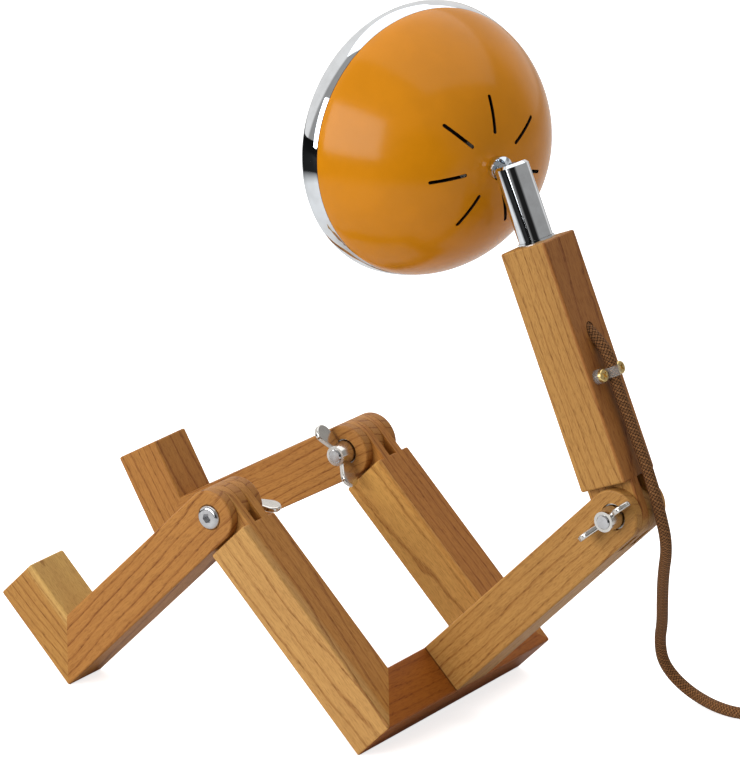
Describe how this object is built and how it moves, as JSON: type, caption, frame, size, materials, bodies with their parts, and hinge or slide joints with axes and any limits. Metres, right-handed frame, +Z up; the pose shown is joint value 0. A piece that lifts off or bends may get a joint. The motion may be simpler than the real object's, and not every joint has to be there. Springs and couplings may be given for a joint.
{
  "type": "desk lamp",
  "caption": "Jointed wooden desk lamp that sits like a small robot, with a round metal shade as its head and wing nuts that clamp its joints.",
  "frame": {"origin": "on the surface the lamp sits on, below the middle of its plan outline, the cord and its pieces left out", "axes": "+X to the figure's left, across the seat and along the knee bolts; -Y the way it faces; +Z up"},
  "size_m": [0.2565, 0.5653, 0.3941],
  "materials": {
    "oiled_ash": "oiled, satin",
    "ochre_enamel": "glossy enamel",
    "chrome": "polished",
    "zinc_steel": "zinc plated, satin",
    "brass_screw": "plain",
    "clear_plastic": "clear",
    "brown_textile": "braided sleeve",
    "brown_plastic": "satin",
    "white_plastic": "satin",
    "bulb_glass": "opal"
  },
  "bodies": {
    "seat": {"crossbar": "oiled_ash", "left_thigh": "oiled_ash", "right_thigh": "oiled_ash", "lower_back": "oiled_ash", "dowel_left": "oiled_ash", "dowel_right": "oiled_ash", "waist_bolt": "zinc_steel", "waist_washer": "zinc_steel", "cord_at_waist": "brown_textile", "cord_to_switch": "brown_textile", "switch_housing": "brown_plastic", "cord_to_coil": "brown_textile", "cord_coil": "brown_textile", "cord_tie": "brown_plastic", "cord_to_plug": "brown_textile", "plug_body": "brown_plastic", "plug_pin_left": "zinc_steel", "plug_pin_right": "zinc_steel"},
    "left_lower_leg": {"left_shin": "oiled_ash", "left_foot": "oiled_ash", "left_knee_bolt": "zinc_steel", "left_knee_washer": "zinc_steel"},
    "right_lower_leg": {"right_shin": "oiled_ash", "right_foot": "oiled_ash", "right_knee_bolt": "zinc_steel", "right_knee_washer": "zinc_steel"},
    "left_knee_nut": {"left_knee_wing_nut": "zinc_steel"},
    "right_knee_nut": {"right_knee_wing_nut": "zinc_steel"},
    "waist_nut": {"waist_wing_nut": "zinc_steel"},
    "torso": {"upper_back": "oiled_ash", "threaded_stem": "zinc_steel", "stem_nut": "zinc_steel", "neck_washer": "chrome", "cord_clip": "clear_plastic", "clip_screw_left": "brass_screw", "clip_screw_right": "brass_screw", "cord_on_back": "brown_textile"},
    "neck": {"neck_barrel": "chrome", "neck_bush": "brass_screw", "ball_seat": "white_plastic"},
    "arm": {"ball_arm": "chrome", "arm_collar": "chrome", "arm_nut": "zinc_steel"},
    "head": {"shade_dome": "ochre_enamel", "shade_ring": "chrome", "lamp_holder": "white_plastic", "reflector": "white_plastic", "bulb_cap": "zinc_steel", "bulb_glass": "bulb_glass"},
    "rocker": {"switch_rocker": "brown_plastic"}
  },
  "joints": [
    {"name": "left_knee", "type": "hinge", "parent": "seat", "child": "left_lower_leg", "pos_m": [0.07559, -0.03749, 0.11931], "axis": [1, 0, 0], "range_deg": [-90, 5]},
    {"name": "right_knee", "type": "hinge", "parent": "seat", "child": "right_lower_leg", "pos_m": [-0.05441, -0.03749, 0.11931], "axis": [1, 0, 0], "range_deg": [-75, 20]},
    {"name": "waist", "type": "hinge", "parent": "seat", "child": "torso", "pos_m": [0.01059, 0.18231, 0.14141], "axis": [1, 0, 0], "range_deg": [-75, 22], "deforming": ["cord_at_waist"]},
    {"name": "neck_swivel", "type": "hinge", "parent": "torso", "child": "neck", "pos_m": [0.01059, 0.11111, 0.31763], "axis": [0, -0.3746, 0.9272], "range_deg": [-165, 165]},
    {"name": "head_tilt", "type": "hinge", "parent": "neck", "child": "arm", "pos_m": [0.01059, 0.11111, 0.31763], "axis": [0.923, -0.3569, -0.1442], "range_deg": [-70, 25]},
    {"name": "head_roll", "type": "hinge", "parent": "arm", "child": "head", "pos_m": [0.01059, 0.11111, 0.31763], "axis": [-0.3606, -0.9327, 0], "range_deg": [-170, 170]},
    {"name": "left_knee_nut_turn", "type": "hinge", "parent": "left_lower_leg", "child": "left_knee_nut", "pos_m": [0.05559, -0.03749, 0.11931], "axis": [-1, 0, 0], "range_deg": [0, 180]},
    {"name": "right_knee_nut_turn", "type": "hinge", "parent": "right_lower_leg", "child": "right_knee_nut", "pos_m": [-0.03441, -0.03749, 0.11931], "axis": [1, 0, 0], "range_deg": [0, 180]},
    {"name": "waist_nut_turn", "type": "hinge", "parent": "seat", "child": "waist_nut", "pos_m": [0.03059, 0.18231, 0.14141], "axis": [1, 0, 0], "range_deg": [0, 180]},
    {"name": "switch_rock", "type": "hinge", "parent": "seat", "child": "rocker", "pos_m": [-0.06691, 0.2545, 0.01175], "axis": [1, 0, 0], "range_deg": [-16, 0]}
  ]
}
